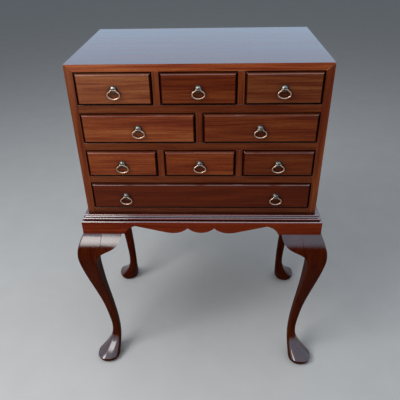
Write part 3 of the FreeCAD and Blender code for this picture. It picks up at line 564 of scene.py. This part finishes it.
def drawer_front(drawer):
    """A bevelled front where the measured front of this drawer stands."""
    node = f"front_{drawer}"
    low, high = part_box(node)
    front = block(low + Vector((0, BEVEL_DEPTH, 0)), high)
    bpy.ops.object.mode_set(mode="EDIT")
    select_where(front, "FACE", lambda face: face.normal.y < -0.9)
    bpy.ops.mesh.extrude_region_move(TRANSFORM_OT_translate={"value": (0, -BEVEL_DEPTH, 0)})
    wide, tall = high.x - low.x, high.z - low.z
    middle = ((low.x + high.x) / 2, low.y, (low.z + high.z) / 2)
    bpy.ops.transform.resize(value=(1 - 2 * FRONT_BEVEL / wide, 1, 1 - 2 * FRONT_BEVEL / tall),
                             center_override=middle)
    bpy.ops.object.mode_set(mode="OBJECT")
    soften(front, EASED_EDGE)
    finish_piece(front, f"front_board_{drawer}", f"drawer_{drawer}", "mahogany_figured",
                 front_mahogany[drawer])
    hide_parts(node)
    return front


fronts = [drawer_front(drawer) for drawer in FRONT_TONES_AND_PAINTED_LIGHT]
print(len(fronts), "fronts of", face_count(fronts[0]), "faces each")

# %% [markdown]
# ## Dovetails
#
# The sides of a good drawer are joined to its front with lapped dovetails, which show only
# when the drawer is pulled out: pale wedges let into the ends of the dark front. They
# could be painted on, but real joints have edges that can be seen and felt. One tail is a
# block whose front end is made taller by scaling its end face. It is copied up each side,
# a hair's breadth proud of the front's end.

# %% Dovetail joints at the drawer fronts
TAILS_PER_SIDE = 3
TAIL_LENGTH = 8.0 * MM
TAIL_DEPTH = 0.6 * MM
TAIL_PROUD = 0.15 * MM
TAIL_SHARE = 0.52
TAIL_FLARE = 1.35


def one_tail(low, high):
    """A block that flares towards its front end."""
    tail = block(low, high)
    bpy.ops.object.mode_set(mode="EDIT")
    select_where(tail, "FACE", lambda face: face.normal.y < -0.9)
    end = Vector(((low.x + high.x) / 2, low.y, (low.z + high.z) / 2))
    bpy.ops.transform.resize(value=(1, 1, TAIL_FLARE), center_override=end)
    bpy.ops.object.mode_set(mode="OBJECT")
    soften(tail, TAIL_PROUD / 2, segments=1)
    return tail


def dovetails(drawer):
    """All the dovetails of one drawer, up both ends of its front."""
    front_low, front_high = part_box(f"front_{drawer}")
    box_low, box_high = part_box(f"box_{drawer}")
    spacing = (box_high.z - box_low.z) / TAILS_PER_SIDE
    tall = spacing * TAIL_SHARE
    foot = box_low.z + (spacing - tall) / 2
    tails = []
    for outer, inner in ((front_low.x - TAIL_PROUD, front_low.x + TAIL_DEPTH),
                         (front_high.x - TAIL_DEPTH, front_high.x + TAIL_PROUD)):
        first = one_tail(Vector((outer, front_high.y - TAIL_LENGTH, foot)),
                         Vector((inner, front_high.y, foot + tall)))
        tails.append(first)
        tails += [copy_to(first, Vector((0, 0, spacing * step))) for step in range(1, TAILS_PER_SIDE)]
    return finish_piece(joined(tails), f"dovetails_{drawer}", f"drawer_{drawer}", "secondary_wood",
                        plain_by_grain["y"])


tail_sets = [dovetails(drawer) for drawer in FRONT_TONES_AND_PAINTED_LIGHT]
print(len(tail_sets), "drawers,", TAILS_PER_SIDE * 2, "dovetails each")

# %% [markdown]
# ## Turned and mitred work
#
# A lathe makes a round piece by following one outline all the way round. The same can be
# done with a ring: extrude it a step forward, scale it to the next radius, and repeat. It
# works for a ring of any shape. A circle gives a turned post, and a rectangle gives a
# frame whose corners are mitred by themselves, because both its sides are scaled together.

# %% A helper that walks a ring along a profile
def walk_ring(centre, start, steps):
    """Extrudes the selected ring from step to step.

    Centre and start say where the ring is now; each step moves it to a new centre and
    scales it to new half widths along X, Y and Z, where 0 leaves a direction alone.
    """
    here, widths = Vector(centre), Vector(start)
    for place, wanted in steps:
        place, wanted = Vector(place), Vector(wanted)
        bpy.ops.mesh.extrude_region_move(TRANSFORM_OT_translate={"value": place - here})
        scale = [new / old if old else 1.0 for new, old in zip(wanted, widths)]
        bpy.ops.transform.resize(value=scale, center_override=place)
        here, widths = place, wanted


def turned_piece(centre, profile, segments=40):
    """A round piece about a line along -Y; the profile is (reach, radius) from the back."""
    (reach, radius), rest = profile[0], profile[1:]
    bpy.ops.object.select_all(action="DESELECT")
    bpy.ops.mesh.primitive_circle_add(vertices=segments, radius=radius, fill_type="NGON",
                                      location=centre - Vector((0, reach, 0)), rotation=(math.pi / 2, 0, 0))
    bpy.ops.object.transform_apply(location=True, rotation=True, scale=True)
    piece = bpy.context.object
    bpy.ops.object.mode_set(mode="EDIT")
    bpy.ops.mesh.select_all(action="SELECT")
    walk_ring(centre - Vector((0, reach, 0)), (radius, 0, radius),
              [(centre - Vector((0, far, 0)), (wide, 0, wide)) for far, wide in rest])
    bpy.ops.object.mode_set(mode="OBJECT")
    turn_normals_out(piece)
    return piece


def arc(centre, radius, first, last, count):
    """Points on an arc in a profile, by angles in degrees from its first axis."""
    angles = [math.radians(first + (last - first) * step / count) for step in range(count + 1)]
    return [(centre[0] + radius * math.cos(angle), centre[1] + radius * math.sin(angle)) for angle in angles]


print("ring walker ready")

# %% [markdown]
# ## Pulls
#
# A pull is a rosette, a post that carries the bail in a slot across its end, and a nut
# inside the drawer. On the real one they are turned brass, so each is walked along its
# outline: the rosette has a raised rim and a groove, the post a collar and a plain round
# head. The slot is cut with a boolean, as a file and a drill would. One pull is modelled
# and then copied to the other nine places, which are read from the measured bails.

# %% Sizes of a pull, and outlines of its turned parts in millimetres
WIRE_RADIUS = 1.25 * MM
PIVOT_REACH = 5.4 * MM
SLOT_RADIUS = 1.45 * MM
HEAD_RADIUS = 4.6 * MM
HEAD_FACE = 6.75 * MM
NUT_REAR = -21.5 * MM
NUT_RADIUS = 5.0 * MM
NUT_EASING = 0.45 * MM
FRONT_THICK = 18.0 * MM

ROSETTE = [(0.0, 8.8), (0.45, 8.8), (0.8, 8.55), (1.0, 8.1), (0.95, 7.7), (0.85, 7.5), (1.0, 7.2),
           (1.4, 6.9), (1.7, 6.6), (1.8, 6.3), (1.8, 4.6)]
POST = [(1.2, 5.6), (1.7, 5.8), (1.9, 6.25), (2.15, 6.4), (2.4, 6.25), (2.6, 5.85), (2.85, 5.3), (3.2, 4.75),
        (3.5, 4.45), (3.7, 4.5), (3.9, 4.6), (6.3, 4.6), (6.6, 4.45), (6.8, 4.1), (6.9, 3.6), (6.95, 0.2)]
THREAD_END = -23.5
THREAD_PITCH = 0.65
THREAD_TURNS = 9
THREAD_RADII = (2.0, 1.72)
SHANK = [(THREAD_END, 1.5)] + [(THREAD_END + THREAD_PITCH / 2 * step, THREAD_RADII[step % 2])
                               for step in range(1, 2 * THREAD_TURNS + 1)]


def in_metres(profile):
    """An outline given in millimetres, in metres."""
    return [(reach * MM, radius * MM) for reach, radius in profile]


print(len(ROSETTE), "points on the rosette,", len(POST), "on the post,", len(SHANK), "on the shank")

# %% Slot, nut and places of the pulls
def slotted(post, centre):
    """Cuts the slot for the bail across the head: a round bottom, open to the front."""
    bpy.ops.mesh.primitive_cylinder_add(vertices=24, radius=SLOT_RADIUS, depth=HEAD_RADIUS * 4,
                                        location=centre - Vector((0, PIVOT_REACH, 0)),
                                        rotation=(0, math.pi / 2, 0))
    drill = bpy.context.object
    bpy.ops.object.transform_apply(location=True, rotation=True, scale=True)
    bpy.ops.object.mode_set(mode="EDIT")
    axis = centre.y - PIVOT_REACH
    select_where(drill, "VERT", lambda vertex: vertex.co.y < axis)
    bpy.ops.transform.translate(value=(0, -HEAD_RADIUS, 0))
    bpy.ops.object.mode_set(mode="OBJECT")
    cut_away(post, drill)
    return post


def hexagon_nut(centre):
    """The nut behind the drawer front."""
    middle = centre + Vector((0, (FRONT_THICK - NUT_REAR) / 2, 0))
    bpy.ops.object.select_all(action="DESELECT")
    bpy.ops.mesh.primitive_cylinder_add(vertices=6, radius=NUT_RADIUS, depth=-NUT_REAR - FRONT_THICK,
                                        location=middle, rotation=(math.pi / 2, 0, 0))
    nut = bpy.context.object
    bpy.ops.object.transform_apply(location=True, rotation=True, scale=True)
    soften(nut, NUT_EASING)
    return nut


def pull_places(drawer):
    """Where the pulls of a drawer stand on its front, from the measured bails."""
    bails = [name for name in sorted(frame["nodes"]) if name.startswith(f"bail_{drawer}")]
    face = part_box(f"front_{drawer}")[0].y
    places = []
    for name in bails:
        low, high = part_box(name)
        places.append(Vector(((low.x + high.x) / 2, face, high.z - WIRE_RADIUS)))
    return places


print(sum(len(pull_places(drawer)) for drawer in FRONT_TONES_AND_PAINTED_LIGHT), "places for pulls")

# %% One pull, modelled at the first drawer
first_place = pull_places("one_left")[0]
rosette = turned_piece(first_place, in_metres(ROSETTE), segments=56)
post = slotted(turned_piece(first_place, in_metres(POST), segments=48), first_place)
shank = turned_piece(first_place, in_metres(SHANK), segments=24)
nut = hexagon_nut(first_place)
for part, finish in ((rosette, tarnish_and_shade_brass), (post, head_brass), (shank, screw_steel), (nut, tarnish_and_shade_brass)):
    part.data.materials.clear()
    part.data.materials.append(finish)
# Painted shade: the post's faces in front of HEAD_FACE take the dark brass, for the dark reflection on its
# end.
post.data.materials.append(tarnish_and_shade_brass)
for face in post.data.polygons:
    face.material_index = int(face.center.y < first_place.y - HEAD_FACE)
pattern = joined([rosette, post, shank, nut])
make_active(pattern)
bpy.ops.object.shade_smooth_by_angle(angle=ROUND_FROM)
print("one pull has", face_count(pattern), "faces")

# %% The pull copied to every drawer
for drawer in FRONT_TONES_AND_PAINTED_LIGHT:
    copies = [copy_to(pattern, place - first_place) for place in pull_places(drawer)]
    pull = finish_piece(joined(copies), f"turned_pull_{drawer}", f"drawer_{drawer}", "aged_brass")
    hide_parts(f"pull_{drawer}")
bpy.data.objects.remove(pattern)
print("pulls on", len(FRONT_TONES_AND_PAINTED_LIGHT), "drawers")

# %% [markdown]
# ## Bails
#
# The bail is a closed loop of brass wire: a straight bar through the post, two short necks
# that turn down and out beside it, and a wide oval for the fingers. A curve with a round
# bevel would do, but spinning a ring of points about one centre after another makes each
# bend as a jig does, true in radius and angle. Half the loop is bent from the middle of
# the bar to the middle of the oval, and a mirror modifier makes the other half.

# %% The bends of half a bail, in millimetres and degrees
WIRE_SIDES = 16
DEGREES_PER_STEP = 8
BAIL_BENDS = [("run", 4.6), ("bend", 1.6, 75), ("run", 0.6), ("bend", 1.6, -50), ("bend", 15.0, 19),
              ("bend", 6.6, 97), ("bend", 17.2, 39)]


def bend_wire(start, moves):
    """Extrudes and spins the selected ring in the XZ plane; a positive bend turns down.

    A run is given by its length and a bend by its radius and angle.
    """
    here, heading = Vector(start), 0.0
    for kind, length, *turn in moves:
        along = Vector((math.cos(heading), 0, -math.sin(heading)))
        if kind == "run":
            bpy.ops.mesh.extrude_region_move(TRANSFORM_OT_translate={"value": along * length * MM})
            here += along * length * MM
            continue
        angle = math.radians(turn[0])
        side = math.copysign(length * MM, angle)
        centre = here + Vector((-math.sin(heading), 0, -math.cos(heading))) * side
        steps = max(2, round(abs(turn[0]) / DEGREES_PER_STEP))
        bpy.ops.mesh.spin(steps=steps, angle=angle, center=centre, axis=(0, -1, 0))
        heading += angle
        here = centre + Vector((math.sin(heading), 0, math.cos(heading))) * side
    return here


print(sum(turn[0] for _, _, *turn in BAIL_BENDS if turn), "degrees from bar to base")

# %% One bail, bent at the middle of the chest
low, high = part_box("bail_one_middle")
pivot = Vector((0, (low.y + high.y) / 2, high.z - WIRE_RADIUS))
bpy.ops.object.select_all(action="DESELECT")
bpy.ops.mesh.primitive_circle_add(vertices=WIRE_SIDES, radius=WIRE_RADIUS, fill_type="NOTHING",
                                  location=pivot, rotation=(0, math.pi / 2, 0))
bpy.ops.object.transform_apply(location=True, rotation=True, scale=True)
loop = bpy.context.object
bpy.ops.object.mode_set(mode="EDIT")
bpy.ops.mesh.select_all(action="SELECT")
lowest = bend_wire(pivot, BAIL_BENDS)
bpy.ops.object.mode_set(mode="OBJECT")
apply_modifier(loop, "other half", "MIRROR", merge_threshold=0.1 * MM)
turn_normals_out(loop)
print(f"the bend ends {lowest.x / MM:.2f} mm from the middle, {(pivot.z - lowest.z) / MM:.1f} mm down")

# %% The bail copied to every pull
bails = [name for name in sorted(frame["nodes"]) if name.startswith("bail_")]
for name in bails:
    low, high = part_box(name)
    place = Vector(((low.x + high.x) / 2, pivot.y, high.z - WIRE_RADIUS))
    wire = finish_piece(copy_to(loop, place - pivot), f"wire_{name}", name, "bail_brass", bail_brass)
    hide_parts(name)
bpy.data.objects.remove(loop)
print(len(bails), "bails")

# %% [markdown]
# ## Moulding under the chest
#
# The chest sits in a mitred moulding: a small bead under its edge, a hollow, and a larger
# bead that overhangs the apron. A curve with a bevel profile could be run round the stand.
# Walking a rectangle along the profile does it with plain faces and true mitres, and
# leaves the beads as round as wanted. The long sides get their grain along X and the short
# ones along Y, by where each face looks.

# %% Outline of the moulding, in millimetres outwards and up
LOWER_BEAD, UPPER_BEAD, COVE = 2.7, 2.0, 3.6
LOWER_CENTRE, UPPER_CENTRE, COVE_CENTRE = (10.5, 4.9), (6.5, 13.0), (9.95, 11.16)
BEAD_STEPS, COVE_STEPS = 12, 8
MOULDING_WIDTH, MOULDING_HEIGHT = 43.0, 15.0
foot, nose = LOWER_CENTRE[0], LOWER_CENTRE[0] + LOWER_BEAD
lower_bead = arc(LOWER_CENTRE, LOWER_BEAD, -90, 90, BEAD_STEPS)
cove = arc(COVE_CENTRE, COVE, -81, -177.5, COVE_STEPS)[1:-1]
upper_bead = arc(UPPER_CENTRE, UPPER_BEAD, -90, 90, BEAD_STEPS)
inside = [(nose - MOULDING_WIDTH, MOULDING_HEIGHT), (nose - MOULDING_WIDTH, 0.0)]
outline = [(foot, 0.0)] + lower_bead + cove + upper_bead + inside + [(foot, 0.0)]
print(len(outline), "points round the moulding")

# %% Mitred moulding
low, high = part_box("stand_moulding")


def ring_at(offset, height):
    """Centre and half widths of the moulding's rectangle at a point of its outline."""
    grow = (offset - nose) * MM
    return (0, 0, low.z + height * MM), (high.x + grow, high.y + grow, 0)


centre, widths = ring_at(*outline[0])
bpy.ops.object.select_all(action="DESELECT")
bpy.ops.mesh.primitive_plane_add(size=2, location=centre)
moulding = bpy.context.object
bpy.ops.transform.resize(value=(widths[0], widths[1], 1), center_override=centre)
bpy.ops.object.transform_apply(location=True, rotation=True, scale=True)
bpy.ops.object.mode_set(mode="EDIT")
bpy.ops.mesh.select_mode(type="EDGE")
bpy.ops.mesh.select_all(action="SELECT")
bpy.ops.mesh.delete(type="ONLY_FACE")
bpy.ops.mesh.select_all(action="SELECT")
walk_ring(centre, widths, [ring_at(*point) for point in outline[1:]])
bpy.ops.mesh.select_all(action="SELECT")
bpy.ops.mesh.remove_doubles(threshold=WELD_DISTANCE)
bpy.ops.object.mode_set(mode="OBJECT")
turn_normals_out(moulding)
finish_piece(moulding, "mitred_moulding", "chest_and_stand", "mahogany", stand_by_grain["x"],
             stand_by_grain["y"])
for face in moulding.data.polygons:
    face.material_index = int(abs(face.center.x) - high.x > abs(face.center.y) - high.y)
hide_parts("stand_moulding")
print("moulding has", face_count(moulding), "faces")

# %% [markdown]
# ## Screws in the back
#
# The back panel is held by slotted screws, sunk a little into its edge. A screw head is a
# turned piece too: a low dome, with its slot cut by a thin block. Small things like these
# are worth modelling once, because they tell the eye how large everything else is.

# %% Slotted screws round the back panel
SCREW_HEAD = [(0.0, 3.4), (0.25, 3.4), (0.5, 2.9), (0.7, 2.2), (0.82, 1.3), (0.86, 0.2)]
SCREW_INSET = 6.0 * MM
SLOT_WIDTH = 0.8 * MM
SLOT_FLOOR = 0.45 * MM
CUTTER_REACH = 4.5 * MM
CUTTER_TOP = 2.0 * MM
back_low, back_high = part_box("carcase_back")


def screw_places():
    """Along all four edges of the back panel."""
    left, right = back_low.x + SCREW_INSET, back_high.x - SCREW_INSET
    foot, top = back_low.z + SCREW_INSET, back_high.z - SCREW_INSET
    rows = [foot + (top - foot) * step / 3 for step in range(4)]
    columns = [left + (right - left) * step / 4 for step in range(5)]
    upright = [(x, z) for x in (left, right) for z in rows]
    level = [(x, z) for z in (foot, top) for x in columns[1:-1]]
    return [Vector((x, back_high.y, z)) for x, z in upright + level]


places = screw_places()
head = turned_piece(places[0], in_metres(SCREW_HEAD), segments=24)
make_active(head)
bpy.ops.object.mode_set(mode="EDIT")
bpy.ops.mesh.select_all(action="SELECT")
bpy.ops.transform.resize(value=(1, -1, 1), center_override=places[0])
bpy.ops.object.mode_set(mode="OBJECT")
turn_normals_out(head)
reach = Vector((CUTTER_REACH, 0, SLOT_WIDTH / 2))
cut_away(head, block(places[0] - reach + Vector((0, SLOT_FLOOR, 0)),
                     places[0] + reach + Vector((0, CUTTER_TOP, 0))))
screws = [head] + [copy_to(head, place - places[0]) for place in places[1:]]
finish_piece(joined(screws), "back_screws", "chest_and_stand", "aged_brass", screw_steel)
print(len(places), "screws")

# %% [markdown]
# ## Parts that only need a finish
#
# Legs, brackets, drawer boxes and the hidden framing are right as measured, so they
# keep their shapes and get materials. The legs are carved from upright stock and darker
# than the chest; the boxes are plain wood with the grain running back to front.

# %% Finishes for the measured parts
def dress(node, material):
    """Puts a material on a measured part, whose shape stays as it is."""
    for holder in frame["nodes"][node].material_slots:
        holder.material = material


FINISHES = {"leg_": leg_mahogany, "knee_": leg_mahogany, "box_": plain_by_grain["y"],
            "drawer_runners": plain_by_grain["y"], "drawer_stops": plain_by_grain["x"],
            "corner_blocks": plain_by_grain["x"], "carcase_back": plain_by_grain["x"]}
dressed = 0
for node in frame["nodes"]:
    for start, material in FINISHES.items():
        if node.startswith(start):
            dress(node, material)
            dressed += 1
print(dressed, "measured parts dressed")

# %% [markdown]
# ## Floor and light
#
# The chest stands on a plain pale floor in soft studio light. A large lamp above and to
# the left stands for the open sky on that side, which makes the left drawers lighter and
# puts the shadows to the right. A low window before the left leg draws the bright band on
# its knee, and a wide lamp overhead lights the top. The world fills the shadows, and
# polished surfaces see it bluer, as they see the sky outdoors.

# %% Floor
FLOOR_SIDE = 60

bpy.ops.object.select_all(action="DESELECT")
bpy.ops.mesh.primitive_plane_add(size=FLOOR_SIDE)
floor = bpy.context.object
floor.name = "floor"
floor_finish, tree, shader = new_finish("pale floor", Roughness=0.85, Specular_IOR_Level=0.15)
mottle = streaks(tree, (0.0, 0.0, 0.0), (9.0, 9.0, 9.0), detail=3.0)
tree.links.new(ramp(tree, mottle, [(0.2, (0.52, 0.53, 0.54)), (0.8, (0.56, 0.57, 0.58))]),
               shader.inputs["Base Color"])
floor.data.materials.append(floor_finish)
print("floor in place")

# %% Lamps
def soft_lamp(name, place, target, size, radiance, colour):
    """A flat lamp whose brightness is set by its radiance, whatever its size."""
    bpy.ops.object.light_add(type="AREA", location=place)
    lamp = bpy.context.object
    lamp.name = name
    lamp.data.shape = "RECTANGLE"
    lamp.data.size, lamp.data.size_y = size
    lamp.data.energy = radiance * math.pi * size[0] * size[1]
    lamp.data.color = colour
    lamp.rotation_euler = (Vector(target) - Vector(place)).to_track_quat("-Z", "Y").to_euler()
    return lamp


lamps = [
    soft_lamp("key", place=(-1.2, -1.1, 2.0), target=(-0.1, -0.1, 0.7), size=(1.0, 1.0),
              radiance=9.0, colour=(1.0, 0.97, 0.93)),
    soft_lamp("low window", place=(-0.70, -1.5, 0.72), target=(-0.3, -0.19, 0.5), size=(0.5, 0.6),
              radiance=5.0, colour=(1.0, 0.96, 0.90)),
    soft_lamp("overhead", place=(0.0, -0.5, 2.5), target=(0.0, -0.49, 0), size=(3.0, 2.8),
              radiance=1.3, colour=(0.88, 0.94, 1.0)),
]
print(", ".join(f"{lamp.name} {lamp.data.energy:.0f} W" for lamp in lamps))

# %% World
WORLD_SEEN = (0.74, 0.77, 0.80, 1)
WORLD_MIRRORED = (0.54, 0.76, 1.0, 1)
WORLD_FILL = 0.20

world = bpy.data.worlds.new("studio")
bpy.context.scene.world = world
world.use_nodes = True
tree = world.node_tree
rays = add_node(tree, "ShaderNodeLightPath")
mirrored = rays.outputs["Is Glossy Ray"]
seen = add_node(tree, "ShaderNodeMath", {0: rays.outputs["Is Camera Ray"], 1: mirrored},
                operation="MAXIMUM").outputs[0]
colour = mix_colours(tree, mirrored, WORLD_SEEN, WORLD_MIRRORED)
strength = add_node(tree, "ShaderNodeMapRange", {"Value": seen, "To Min": WORLD_FILL, "To Max": 1.0})
background = tree.nodes["Background"]
tree.links.new(colour, background.inputs["Color"])
tree.links.new(strength.outputs["Result"], background.inputs["Strength"])
print("world fills the shadows at", WORLD_FILL)

# %% [markdown]
# ## Sizes
#
# The outer sizes of the measured chest are printed.

# %% Sizes and finish
bpy.context.view_layer.update()
print("measured", [round(value, 4) for value in (*cad_low, *cad_high)])
